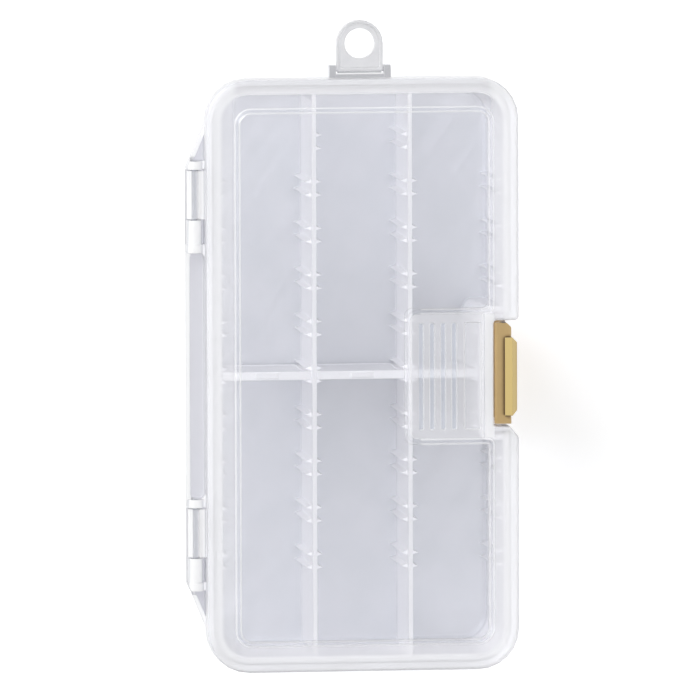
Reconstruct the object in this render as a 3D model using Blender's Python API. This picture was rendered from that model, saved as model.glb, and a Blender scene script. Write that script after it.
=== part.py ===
"""Flat translucent lure case with a hinged lid, a swing latch, a hang tab and loose dividers.

The frame has its origin on the flat underside, below the middle of the lid. The hang tab points to
+Y, the latch is on +X, the hinges are on -X and the lid is up.
"""

import math

import bmesh
import bpy
from mathutils import Matrix, Vector

MM = 0.001

# Lid outline and the heights that the two mouldings share
LID_WIDTH = 85.0 * MM
LID_LENGTH = 161.0 * MM
HEIGHT = 31.0 * MM
CORNER_RADIUS = 11.3 * MM
LID_DEPTH = 6.5 * MM

# Clearances and cuts
CLEARANCE = 0.3 * MM
SKIRT_GAP = 0.5 * MM
OVERRUN = 1.0 * MM
OVERLAP = 0.5 * MM

# Lid
LID_SKIN = 1.5 * MM
LID_SKIRT = 2.1 * MM
LID_EDGE_ROUND = 0.8 * MM
PANEL_RISE = 1.0 * MM
PANEL_SLOPE = 1.65 * MM
PANEL_SINK = 0.1 * MM
PANEL_LEFT_INSET = 7.4 * MM
PANEL_RIGHT_INSET = 6.7 * MM
PANEL_TOP_INSET = 7.6 * MM
PANEL_BOTTOM_INSET = 6.9 * MM
PANEL_CORNER = 4.6 * MM
PAD_WIDTH = 22.8 * MM
PAD_LENGTH = 33.6 * MM
PAD_SHIFT = -0.5 * MM
PAD_CORNER = 2.0 * MM
GROOVE_COUNT = 4
GROOVE_PITCH = 3.0 * MM
GROOVE_WIDTH = 1.3 * MM
GROOVE_DEPTH = 0.6 * MM
GROOVE_LENGTH = 29.0 * MM
GROOVE_START = 2.1 * MM
GROOVE_CORNER = 0.5 * MM
PLATE_START = 14.6 * MM
PLATE_WIDTH = 4.4 * MM
PLATE_DEPTH = 0.25 * MM
RIDGE_START = 19.6 * MM
RIDGE_WIDTH = 0.5 * MM
RIDGE_HEIGHT = 0.3 * MM

# Notch in the lid and the rim for the latch
NOTCH_LENGTH = 28.8 * MM
NOTCH_DEPTH = 6.9 * MM
NOTCH_SKIRT = 1.8 * MM
NOTCH_LIP_ROUND = 1.2 * MM
NOTCH_SLANT_IN = 2.4 * MM
NOTCH_SLANT_ALONG = 3.0 * MM
NOTCH_CORNER_ROUND = 0.9 * MM
CATCH_LENGTH = 20.0 * MM
CATCH_REACH = 2.1 * MM
CATCH_HEIGHT = 1.8 * MM
CATCH_FOOT = 0.7 * MM

# Case moulding
WALL = 1.6 * MM
FLOOR = 1.4 * MM
DRAFT = 1.2 * MM
FLOOR_FILLET = 1.8 * MM
BASE_FILLET = 2.5 * MM
RIM_FLANGE = 1.6 * MM
POCKET_CORNER = 3.0 * MM
INNER_WALL = 1.2 * MM
INNER_WALL_PLACE = 13.05 * MM
INNER_WALL_DROP = 0.6 * MM

# Slot ribs
SLOT_PITCH = 12.64 * MM
SLOT_REACH = 4
RIB_SPACING = 3.6 * MM
RIB_BASE = 1.2 * MM
RIB_TALL = 1.8 * MM
RIB_DROP = 2.7 * MM

# Hinge rail on the case
RAIL_REACH = 5.2 * MM
RAIL_HEIGHT = 5.0 * MM
RAIL_WALL = 1.1 * MM
RAIL_FLOOR = 1.4 * MM
RAIL_DRAFT = 0.4 * MM
RAIL_TAPER = 20.2 * MM
RAIL_POCKET_CORNER = 1.6 * MM

# Hinges
HINGE_END_MARGIN = 34.6 * MM
HINGE_OPENING = 20.3 * MM
HINGE_OUT = 2.8 * MM
HINGE_LIFT = 0.15 * MM
KNUCKLE_RADIUS = 2.0 * MM
LONG_KNUCKLE = 13.1 * MM
POST_RADIUS = 2.2 * MM
POST_LENGTH = 2.3 * MM
POST_LIP = 0.15 * MM
PIN_RADIUS = 0.75 * MM

# Latch
LATCH_GAP = 0.4 * MM
LATCH_LENGTH = 27.4 * MM
LATCH_WALL = 2.4 * MM
LATCH_HOOK = 1.8 * MM
LATCH_PIVOT_HEIGHT = 8.0 * MM
LATCH_PIVOT_INSET = 5.9 * MM
LATCH_FOOT_RADIUS = 2.0 * MM
LATCH_ROUND = 0.6 * MM
LATCH_SLANT = 1.25 * MM
LATCH_SLANT_FOOT = 16.0 * MM
PEG_RADIUS = 1.2 * MM
PEG_LENGTH = 2.2 * MM
EAR_REACH = 2.2 * MM
EAR_HALF = 2.8 * MM
GRIP_LENGTH = 21.2 * MM
GRIP_WIDTH = 3.4 * MM
GRIP_HEIGHT = 4.0 * MM
GRIP_RISE = 1.5 * MM
GRIP_SHIFT = -0.8 * MM
GRIP_RIDGE = 2.0 * MM
GRIP_FALL_IN = 0.7 * MM
GRIP_FALL_OUT = 1.5 * MM
GRIP_SLANT = 1.4 * MM

# Hang tab and its bracket
TAB_WIDTH = 12.6 * MM
TAB_HOLE = 8.15 * MM
TAB_REACH = 7.1 * MM
TAB_PLATE = 1.7 * MM
TAB_BEAD = 0.8 * MM
TAB_BEAD_THICK = 2.1 * MM
TAB_CORNER = 1.2 * MM
TAB_HEEL = 0.4 * MM
TAB_HEEL_RADIUS = 0.95 * MM
TAB_PIVOT_OUT = 2.0 * MM
TAB_PEG_RADIUS = 0.55 * MM
TAB_PEG_LENGTH = 1.5 * MM
BRACKET_EAR = 1.8 * MM
BRACKET_REACH = 1.3 * MM
BRACKET_HALF = 1.9 * MM
BRACKET_WEB = 0.75 * MM
BRACKET_WEB_DROP = 4.2 * MM

# Dividers
DIVIDER_WEB = 1.1 * MM
DIVIDER_EDGE = 1.7 * MM
DIVIDER_EDGE_WIDTH = 1.6 * MM
DIVIDER_RIM = 2.3 * MM
DIVIDER_RIM_HEIGHT = 1.9 * MM
DIVIDER_TAB = 6.3 * MM
DIVIDER_TAB_RISE = 0.6 * MM
DIVIDER_TAB_THICK = 1.3 * MM
DIVIDER_CORNER = 3.2 * MM
DIVIDER_LIP = 0.1 * MM

# Fineness of round work
ARC_STEPS = 6
ROUND_SIDES = 24
FILLET_STEPS = 3
WELD = 0.001 * MM
SMOOTH_ANGLE = math.radians(35)

# Values that follow
LID_X = LID_WIDTH / 2
LID_Y = LID_LENGTH / 2
RIM_HEIGHT = HEIGHT - LID_DEPTH
BORDER_TOP = HEIGHT - PANEL_RISE
LID_UNDER = BORDER_TOP - LID_SKIN
SKIRT_FOOT = RIM_HEIGHT + CLEARANCE
TONGUE_TOP = LID_UNDER - CLEARANCE
NOTCH_HALF = NOTCH_LENGTH / 2
NOTCH_BACK = LID_X - NOTCH_DEPTH
CASE_X = LID_X - LID_SKIRT - SKIRT_GAP
CASE_Y = LID_Y - LID_SKIRT - SKIRT_GAP
CASE_CORNER = CORNER_RADIUS - LID_SKIRT - SKIRT_GAP
RECESS_BACK = NOTCH_BACK - NOTCH_SKIRT - SKIRT_GAP
RECESS_HALF = NOTCH_HALF + NOTCH_SKIRT + SKIRT_GAP
LEAN = DRAFT / TONGUE_TOP
RIB_TOP = TONGUE_TOP - RIB_DROP
HINGE_PLACE = LID_Y - HINGE_END_MARGIN
RAIL_HALF = HINGE_PLACE + HINGE_OPENING / 2
RAIL_OUTER = -LID_X - RAIL_REACH
RAIL_ROOT = -CASE_X + WALL / 2
RAIL_SLOPE = RAIL_TAPER / (RAIL_ROOT - RAIL_OUTER)
HINGE_X = -LID_X - HINGE_OUT
HINGE_Z = RIM_HEIGHT + HINGE_LIFT
PIN_HOLE = PIN_RADIUS + CLEARANCE
CATCH_LOW = SKIRT_FOOT + CATCH_FOOT
CATCH_TOP = CATCH_LOW + CATCH_HEIGHT
CATCH_TIP = NOTCH_BACK + CATCH_REACH
LATCH_PIVOT_X = LID_X - LATCH_PIVOT_INSET
LATCH_INSIDE = CATCH_TIP + LATCH_GAP
TAB_PIVOT_Y = LID_Y + TAB_PIVOT_OUT
TAB_PIVOT_Z = RIM_HEIGHT - BRACKET_HALF


def remove_everything():
    for thing in list(bpy.data.objects):
        bpy.data.objects.remove(thing, do_unlink=True)


def new_collection(name):
    collection = bpy.data.collections.new(name)
    bpy.context.scene.collection.children.link(collection)
    return collection


remove_everything()
pieces = new_collection("worm_box")
tools = new_collection("cutters")


def rounded_outline(corners):
    """Points of a closed outline whose corners, given as (x, y, radius), are round."""
    points = []
    for index, (x, y, radius) in enumerate(corners):
        here = Vector((x, y))
        if radius <= 0:
            points.append(here)
            continue
        before = (Vector(corners[index - 1][:2]) - here).normalized()
        after = (Vector(corners[(index + 1) % len(corners)][:2]) - here).normalized()
        half_angle = before.angle(after) / 2
        centre = here + (before + after).normalized() * radius / math.sin(half_angle)
        reach = radius / math.tan(half_angle)
        start = (here + before * reach - centre).normalized()
        end = (here + after * reach - centre).normalized()
        for step in range(ARC_STEPS + 1):
            points.append(centre + start.slerp(end, step / ARC_STEPS) * radius)
    return points


def rectangle(low_x, high_x, low_y, high_y, radius=0):
    corners = [(low_x, low_y), (high_x, low_y), (high_x, high_y), (low_x, high_y)]
    return rounded_outline([(x, y, radius) for x, y in corners])


def circle(x, y, radius):
    steps = range(ROUND_SIDES)
    turns = [2 * math.pi * step / ROUND_SIDES for step in steps]
    return [Vector((x + radius * math.cos(turn), y + radius * math.sin(turn))) for turn in turns]


def notched_outline(inset, skirt):
    """The lid's outline moved in by inset, and by skirt round the latch notch."""
    x = LID_X - inset
    y = LID_Y - inset
    back = NOTCH_BACK - skirt
    half = NOTCH_HALF + skirt
    corner = CORNER_RADIUS - inset
    lip = NOTCH_LIP_ROUND - inset
    inner = NOTCH_CORNER_ROUND + skirt
    if inset:
        low_lip = [(x, -half, lip)]
    else:
        low_lip = [(x, -half - NOTCH_SLANT_ALONG, lip), (x - NOTCH_SLANT_IN, -half, lip)]
    return rounded_outline([
        (x, half, lip),
        (x, y, corner),
        (-x, y, corner),
        (-x, -y, corner),
        (x, -y, corner),
        *low_lip,
        (back, -half, inner),
        (back, half, inner),
    ])


def weld(mesh):
    shape = bmesh.new()
    shape.from_mesh(mesh)
    bmesh.ops.remove_doubles(shape, verts=shape.verts, dist=WELD)
    shape.to_mesh(mesh)
    shape.free()


def prism(name, outlines, low, high):
    """Flat outlines raised from one height to another, made from a filled curve."""
    curve = bpy.data.curves.new(name, "CURVE")
    curve.dimensions = "2D"
    curve.fill_mode = "BOTH"
    curve.extrude = (high - low) / 2
    for outline in outlines:
        spline = curve.splines.new("POLY")
        spline.points.add(len(outline) - 1)
        for point, place in zip(spline.points, outline):
            point.co = (place[0], place[1], 0, 1)
        spline.use_cyclic_u = True
    flat = bpy.data.objects.new(name, curve)
    tools.objects.link(flat)
    flat.location.z = (low + high) / 2
    bpy.context.view_layer.update()
    shown = flat.evaluated_get(bpy.context.evaluated_depsgraph_get())
    mesh = bpy.data.meshes.new_from_object(shown)
    weld(mesh)
    mesh.transform(flat.matrix_world)
    bpy.data.objects.remove(flat)
    return as_tool(name, mesh)


def as_tool(name, mesh):
    """A solid that cuts or joins others and is left out of the model."""
    tool = bpy.data.objects.new(name, mesh)
    tools.objects.link(tool)
    tool.hide_render = True
    tool.display_type = "WIRE"
    return tool


def box(name, low, high):
    shape = bmesh.new()
    middle = (Vector(low) + Vector(high)) / 2
    size = Vector(high) - Vector(low)
    place = Matrix.Translation(middle) @ Matrix.Diagonal(size).to_4x4()
    bmesh.ops.create_cube(shape, size=1, matrix=place)
    mesh = bpy.data.meshes.new(name)
    shape.to_mesh(mesh)
    shape.free()
    return as_tool(name, mesh)


def rod(name, start, end, radius):
    """A round bar between two points."""
    shape = bmesh.new()
    start = Vector(start)
    along = Vector(end) - start
    turn = along.to_track_quat("Z", "Y").to_matrix().to_4x4()
    place = Matrix.Translation(start + along / 2) @ turn
    bmesh.ops.create_cone(shape, cap_ends=True, segments=ROUND_SIDES, radius1=radius, radius2=radius,
                          depth=along.length, matrix=place)
    mesh = bpy.data.meshes.new(name)
    shape.to_mesh(mesh)
    shape.free()
    return as_tool(name, mesh)


def side_prism(name, outline, half_length):
    """An outline in X and Z raised along Y to both sides of the middle."""
    solid = prism(name, [outline], -half_length, half_length)
    solid.data.transform(Matrix.Rotation(math.pi / 2, 4, "X"))
    return solid


def end_prism(name, outline, low, high):
    """An outline in Y and Z raised along X."""
    solid = prism(name, [outline], low, high)
    solid.data.transform(Matrix(((0, 0, 1, 0), (1, 0, 0, 0), (0, 1, 0, 0), (0, 0, 0, 1))))
    return solid


def round_edges(solid, height, width, steps):
    """Bevel the outline edges of a solid that lie at one height."""
    shape = bmesh.new()
    shape.from_mesh(solid.data)
    edges = [edge for edge in shape.edges
             if all(abs(vert.co.z - height) < WELD for vert in edge.verts)
             and edge.calc_face_angle(0) > SMOOTH_ANGLE]
    bmesh.ops.bevel(shape, geom=edges, offset=width, segments=steps, profile=0.5, affect="EDGES")
    shape.to_mesh(solid.data)
    shape.free()


def lean(solid, top, slope, along_y=True):
    """Draw a solid in towards the middle, more the further a point is below top."""
    for vert in solid.data.vertices:
        amount = (top - vert.co.z) * slope
        vert.co.x -= math.copysign(amount, vert.co.x)
        if along_y:
            vert.co.y -= math.copysign(amount, vert.co.y)


def combine(solid, tool, operation):
    change = solid.modifiers.new(tool.name, "BOOLEAN")
    change.operation = operation
    change.solver = "EXACT"
    change.object = tool


def join(solid, *others):
    for other in others:
        combine(solid, other, "UNION")


def cut(solid, *others):
    for other in others:
        combine(solid, other, "DIFFERENCE")


def material(name, colour, roughness, metallic=0, transmission=0):
    finish = bpy.data.materials.new(name)
    finish.use_nodes = True
    surface = finish.node_tree.nodes["Principled BSDF"]
    surface.inputs["Base Color"].default_value = (*colour, 1)
    surface.inputs["Roughness"].default_value = roughness
    surface.inputs["Metallic"].default_value = metallic
    surface.inputs["Transmission Weight"].default_value = transmission
    finish.diffuse_color = (*colour, 1)
    return finish


def finish_piece(solid, name, finish, pivot=None):
    """Move a solid from the tools to the pieces, and hang a moving one on its axis."""
    tools.objects.unlink(solid)
    pieces.objects.link(solid)
    solid.name = name
    solid.hide_render = False
    solid.display_type = "TEXTURED"
    solid.data.materials.clear()
    solid.data.materials.append(finish)
    solid.data.shade_smooth()
    solid.data.set_sharp_from_angle(angle=SMOOTH_ANGLE)
    if pivot is not None:
        axis = bpy.data.objects.new(name + "_axis", None)
        pieces.objects.link(axis)
        axis.location = pivot
        axis.empty_display_size = KNUCKLE_RADIUS
        solid.data.transform(Matrix.Translation(-Vector(pivot)))
        solid.parent = axis
    return solid


def tooth_side(face, outward, places):
    """One face of a slot wall from low to high Y, with a pair of pointed ribs at each place."""
    points = []
    for place in places:
        for rib in (place - RIB_SPACING / 2, place + RIB_SPACING / 2):
            points.append(Vector((face, rib - RIB_BASE / 2)))
            points.append(Vector((face + outward * RIB_TALL, rib)))
            points.append(Vector((face, rib + RIB_BASE / 2)))
    return points


def slot_places(extra=False):
    last = SLOT_REACH + 1 if extra else SLOT_REACH
    return [SLOT_PITCH * step for step in range(-SLOT_REACH, last + 1)]


def comb_outline(side):
    """An inner wall seen from above, with its ribs on both faces."""
    middle = side * INNER_WALL_PLACE
    right = middle + INNER_WALL / 2
    left = middle - INNER_WALL / 2
    end = CASE_Y + OVERRUN
    points = [Vector((right, -end))]
    points += tooth_side(right, 1, slot_places(extra=side < 0))
    points += [Vector((right, end)), Vector((left, end))]
    points += reversed(tooth_side(left, -1, slot_places(extra=side > 0)))
    points.append(Vector((left, -end)))
    return points


def wall_ribs():
    """Ribs on the case's own left and right walls, as outlines seen from above."""
    face = CASE_X - WALL
    pocket_face = RECESS_BACK - WALL
    pocket_half = RECESS_HALF + WALL
    outlines = []
    for place in slot_places():
        for rib in (place - RIB_SPACING / 2, place + RIB_SPACING / 2):
            in_pocket = abs(place) < pocket_half
            for side, start in ((-1, face), (1, pocket_face if in_pocket else face)):
                root = side * (start + OVERRUN)
                tip = side * (start - RIB_TALL)
                half = RIB_BASE / 2 * (RIB_TALL + OVERRUN) / RIB_TALL
                outlines.append([Vector((root, rib - half)), Vector((tip, rib)),
                                 Vector((root, rib + half))])
    return outlines


def cavity():
    """The space inside the case, with the walls and ribs left standing in it."""
    x = CASE_X - WALL
    y = CASE_Y - WALL
    top = TONGUE_TOP + OVERRUN
    space = prism("cavity", [rectangle(-x, x, -y, y, CASE_CORNER - WALL)], FLOOR, top)
    lean(space, TONGUE_TOP, LEAN)
    round_edges(space, FLOOR, FLOOR_FILLET, FILLET_STEPS)

    below = -OVERRUN
    combs = prism("combs", [comb_outline(-1), comb_outline(1)], below, RIB_TOP)
    ribs = prism("wall_ribs", wall_ribs(), below, RIB_TOP)
    lean(ribs, TONGUE_TOP, LEAN, along_y=False)

    end = CASE_Y + OVERRUN
    wall_top = TONGUE_TOP - INNER_WALL_DROP + CLEARANCE
    outlines = []
    for side in (-1, 1):
        middle = side * INNER_WALL_PLACE
        outlines.append(rectangle(middle - INNER_WALL / 2, middle + INNER_WALL / 2, -end, end))
    walls = prism("inner_walls", outlines, below, wall_top)
    outline = rectangle(RECESS_BACK - WALL, LID_X + POCKET_CORNER, -RECESS_HALF - WALL,
                        RECESS_HALF + WALL, POCKET_CORNER)
    pocket = prism("latch_pocket", [outline], below, top + OVERRUN)
    lean(pocket, TONGUE_TOP, LEAN, along_y=False)
    cut(space, combs, ribs, walls, pocket)
    return space


def rail_outline():
    """The hinge rail seen from above, wider where it meets the case."""
    tall = RAIL_HALF + RAIL_TAPER
    return rounded_outline([(RAIL_ROOT, -tall, 0), (RAIL_ROOT, tall, 0),
                            (RAIL_OUTER, RAIL_HALF, RAIL_WALL), (RAIL_OUTER, -RAIL_HALF, RAIL_WALL)])


def rail_pockets():
    """Outlines of the long pocket and of the two pockets in the rail's tapered ends."""
    outer = RAIL_OUTER + RAIL_WALL
    inner = -LID_X
    near = HINGE_PLACE - HINGE_OPENING / 2 - POST_LENGTH
    far = RAIL_HALF + POST_LENGTH
    outlines = [rectangle(outer, inner, -near, near, RAIL_POCKET_CORNER)]
    wall = RAIL_WALL * math.hypot(1, RAIL_SLOPE) / RAIL_SLOPE
    foot_x = RAIL_OUTER + wall + POST_LENGTH / RAIL_SLOPE
    tip = far + (inner - foot_x) * RAIL_SLOPE
    for side in (-1, 1):
        corners = [(foot_x, far), (inner, far), (inner, tip)]
        outlines.append([Vector((x, side * y)) for x, y in corners])
    return outlines


def add_rail(body):
    low = RIM_HEIGHT - RAIL_HEIGHT
    floor = low + RAIL_FLOOR
    rail = prism("rail", [rail_outline()], low, RIM_HEIGHT)
    for vert in rail.data.vertices:
        if vert.co.z < floor and vert.co.x < -LID_X:
            vert.co.x += RAIL_DRAFT
    cut(rail, prism("rail_pockets", rail_pockets(), floor, RIM_HEIGHT + OVERRUN))

    above = RIM_HEIGHT + OVERRUN
    low_wall = HINGE_Z - KNUCKLE_RADIUS - CLEARANCE
    for side in (-1, 1):
        start = side * HINGE_PLACE - HINGE_OPENING / 2
        end = side * HINGE_PLACE + HINGE_OPENING / 2
        cut(rail, box("hinge_floor", (RAIL_OUTER + RAIL_WALL, start, floor), (-LID_X, end, above)))
        cut(rail, box("hinge_gap", (RAIL_OUTER - OVERRUN, start, low_wall), (-LID_X, end, above)))
    join(body, rail)
    foot = low + RAIL_FLOOR / 2
    space = prism("rail_space", [rail_outline()], low - OVERRUN, HINGE_Z + POST_RADIUS + OVERRUN)
    space.data.transform(Matrix.Translation((POST_LIP, 0, 0)))

    for side in (-1, 1):
        start = side * HINGE_PLACE - HINGE_OPENING / 2
        end = side * HINGE_PLACE + HINGE_OPENING / 2
        short_end = end - CLEARANCE - LONG_KNUCKLE - CLEARANCE
        for low_y, high_y, radius in ((start - POST_LENGTH, start, POST_RADIUS),
                                      (end, end + POST_LENGTH, POST_RADIUS),
                                      (start - OVERLAP, short_end, KNUCKLE_RADIUS)):
            outline = rounded_outline([(HINGE_X - radius, foot, 0), (HINGE_X + radius, foot, 0),
                                       (HINGE_X + radius, HINGE_Z + radius, radius),
                                       (HINGE_X - radius, HINGE_Z + radius, radius)])
            post = side_prism("post", outline, (high_y - low_y) / 2)
            post.data.transform(Matrix.Translation((0, (low_y + high_y) / 2, 0)))
            combine(post, space, "INTERSECT")
            join(body, post)


def hinge_rod(name, side, radius, overrun):
    reach = HINGE_OPENING / 2 + POST_LENGTH + overrun
    middle = side * HINGE_PLACE
    return rod(name, (HINGE_X, middle - reach, HINGE_Z), (HINGE_X, middle + reach, HINGE_Z), radius)


def bracket_outline():
    low = TAB_PIVOT_Z - BRACKET_HALF
    high = TAB_PIVOT_Z + BRACKET_HALF
    outer = TAB_PIVOT_Y + BRACKET_REACH
    inner = LID_Y - OVERLAP
    return rounded_outline([(inner, low, 0), (outer, low, BRACKET_REACH), (outer, high, BRACKET_REACH),
                            (inner, high, 0)])


def add_bracket(body):
    inner = TAB_WIDTH / 2 + CLEARANCE
    outer = inner + BRACKET_EAR
    for side in (-1, 1):
        low, high = sorted((side * inner, side * outer))
        join(body, end_prism("bracket_ear", bracket_outline(), low, high))
    low = TAB_PIVOT_Z - BRACKET_WEB_DROP
    join(body, box("bracket_web", (-outer + OVERLAP, LID_Y - OVERRUN, low),
                   (outer - OVERLAP, LID_Y + BRACKET_WEB, RIM_HEIGHT - CLEARANCE)))
    reach = inner + TAB_PEG_LENGTH - CLEARANCE
    radius = TAB_PEG_RADIUS + CLEARANCE
    cut(body, rod("tab_socket", (-reach, TAB_PIVOT_Y, TAB_PIVOT_Z), (reach, TAB_PIVOT_Y, TAB_PIVOT_Z),
                  radius))


def add_latch_ears(body):
    low = LATCH_PIVOT_HEIGHT - EAR_HALF
    high = LATCH_PIVOT_HEIGHT + EAR_HALF
    for side in (-1, 1):
        inner, outer = sorted((side * NOTCH_HALF, side * (RECESS_HALF + OVERLAP)))
        join(body, box("latch_ear", (RECESS_BACK - DRAFT, inner, low),
                       (LATCH_PIVOT_X + EAR_REACH, outer, high)))
    reach = LATCH_LENGTH / 2 + PEG_LENGTH + CLEARANCE
    cut(body, rod("latch_socket", (LATCH_PIVOT_X, -reach, LATCH_PIVOT_HEIGHT),
                  (LATCH_PIVOT_X, reach, LATCH_PIVOT_HEIGHT), PEG_RADIUS + CLEARANCE))


def rim_flange():
    """The flange that the lid's skirt rests over, a ring joined to the outside of the walls."""
    ring = prism("flange", [notched_outline(0, 0)], RIM_HEIGHT - RIM_FLANGE, RIM_HEIGHT)
    x = CASE_X - WALL / 2
    y = CASE_Y - WALL / 2
    back = RECESS_BACK - WALL / 2
    half = RECESS_HALF + WALL / 2
    corner = CASE_CORNER - WALL / 2
    hole = rounded_outline([(x, half, 0), (x, y, corner), (-x, y, corner), (-x, -y, corner),
                            (x, -y, corner), (x, -half, 0), (back, -half, 0), (back, half, 0)])
    cut(ring, prism("flange_hole", [hole], RIM_HEIGHT - RIM_FLANGE - OVERRUN, RIM_HEIGHT + OVERRUN))
    return ring


def make_case(finish):
    outline = rectangle(-CASE_X, CASE_X, -CASE_Y, CASE_Y, CASE_CORNER)
    body = prism("case_body", [outline], 0, TONGUE_TOP)
    lean(body, TONGUE_TOP, LEAN)
    round_edges(body, 0, BASE_FILLET, FILLET_STEPS)
    recess_outline = rectangle(RECESS_BACK, LID_X + WALL + DRAFT, -RECESS_HALF, RECESS_HALF)
    recess = prism("recess", [recess_outline], -OVERRUN, TONGUE_TOP + OVERRUN)
    lean(recess, TONGUE_TOP, LEAN, along_y=False)
    cut(body, cavity(), recess)
    join(body, rim_flange())
    add_rail(body)
    for side in (-1, 1):
        cut(body, hinge_rod("pin_hole", side, PIN_HOLE, OVERRUN))
    add_latch_ears(body)
    add_bracket(body)
    return finish_piece(body, "case_body", finish)


def panel_outline(inset):
    """The raised window, with a bite at its right side where the thumb pad lies."""
    left = -LID_X + PANEL_LEFT_INSET + inset
    right = LID_X - PANEL_RIGHT_INSET - inset
    top = LID_Y - PANEL_TOP_INSET - inset
    bottom = -LID_Y + PANEL_BOTTOM_INSET + inset
    pad_left = right - PAD_WIDTH
    pad_high = PAD_SHIFT + PAD_LENGTH / 2 + inset
    pad_low = PAD_SHIFT - PAD_LENGTH / 2 - inset
    corner = PANEL_CORNER - inset
    return rounded_outline([
        (right, pad_high, PAD_CORNER),
        (right, top, corner),
        (left, top, corner),
        (left, bottom, corner),
        (right, bottom, corner),
        (right, pad_low, PAD_CORNER),
        (pad_left, pad_low, PAD_CORNER),
        (pad_left, pad_high, PAD_CORNER),
    ])


def dress_pad(lid):
    """Grooves, a shallow plate and a low ridge on the thumb pad."""
    pad_left = LID_X - PANEL_RIGHT_INSET - PAD_WIDTH
    low = PAD_SHIFT - GROOVE_LENGTH / 2
    high = PAD_SHIFT + GROOVE_LENGTH / 2
    outlines = []
    for step in range(GROOVE_COUNT):
        start = pad_left + GROOVE_START + GROOVE_PITCH * step
        outlines.append(rectangle(start, start + GROOVE_WIDTH, low, high, GROOVE_CORNER))
    above = BORDER_TOP + OVERRUN
    cut(lid, prism("grooves", outlines, BORDER_TOP - GROOVE_DEPTH, above))
    start = pad_left + PLATE_START
    plate = rectangle(start, start + PLATE_WIDTH, low, high, GROOVE_CORNER)
    cut(lid, prism("plate", [plate], BORDER_TOP - PLATE_DEPTH, above))
    start = pad_left + RIDGE_START
    join(lid, box("ridge", (start, PAD_SHIFT - PAD_LENGTH / 2, BORDER_TOP - OVERLAP),
                  (start + RIDGE_WIDTH, PAD_SHIFT + PAD_LENGTH / 2, BORDER_TOP + RIDGE_HEIGHT)))


def make_lid(finish):
    lid = prism("lid", [notched_outline(0, 0)], SKIRT_FOOT, BORDER_TOP)
    round_edges(lid, BORDER_TOP, LID_EDGE_ROUND, FILLET_STEPS)
    panel = prism("panel", [panel_outline(0)], BORDER_TOP - LID_SKIN / 2, HEIGHT)
    round_edges(panel, HEIGHT, PANEL_SLOPE, 1)
    # The flank is wider than it is high: its foot ends just inside the border's skin.
    for vert in panel.data.vertices:
        if abs(vert.co.z - HEIGHT + PANEL_SLOPE) < WELD:
            vert.co.z = BORDER_TOP - PANEL_SINK
    join(lid, panel)

    hollow = notched_outline(LID_SKIRT, NOTCH_SKIRT)
    cut(lid, prism("lid_hollow", [hollow], SKIRT_FOOT - OVERRUN, LID_UNDER))
    hollow = panel_outline(PANEL_SLOPE)
    cut(lid, prism("panel_hollow", [hollow], LID_UNDER - OVERRUN, HEIGHT - LID_SKIN))
    dress_pad(lid)

    join(lid, box("catch", (NOTCH_BACK - OVERLAP, -CATCH_LENGTH / 2, CATCH_LOW),
                  (CATCH_TIP, CATCH_LENGTH / 2, CATCH_TOP)))
    for side in (-1, 1):
        high = side * HINGE_PLACE + HINGE_OPENING / 2 - CLEARANCE
        low = high - LONG_KNUCKLE
        join(lid, rod("knuckle", (HINGE_X, low, HINGE_Z), (HINGE_X, high, HINGE_Z), KNUCKLE_RADIUS))
        join(lid, box("knuckle_web", (HINGE_X, low, SKIRT_FOOT),
                      (-LID_X + OVERLAP, high, HINGE_Z + KNUCKLE_RADIUS)))
        cut(lid, hinge_rod("lid_pin_hole", side, PIN_HOLE, OVERRUN))
    return finish_piece(lid, "lid", finish, (HINGE_X, 0, HINGE_Z))


def make_pins(finish):
    for side, word in ((1, "upper"), (-1, "lower")):
        name = "hinge_pin_" + word
        finish_piece(hinge_rod(name, side, PIN_RADIUS, 0), name, finish)


def corner_wedge(x, y, slant, low, high):
    """A wedge that slants off the outer corner of a solid whose corner is at x and y."""
    side = math.copysign(1, y)
    reach = slant + OVERRUN
    far = y + side * OVERRUN
    beyond = x + OVERRUN
    outline = [Vector((x - reach, far)), Vector((beyond, far)), Vector((beyond, y - side * reach))]
    return prism("corner_wedge", [outline], low, high)


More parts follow.
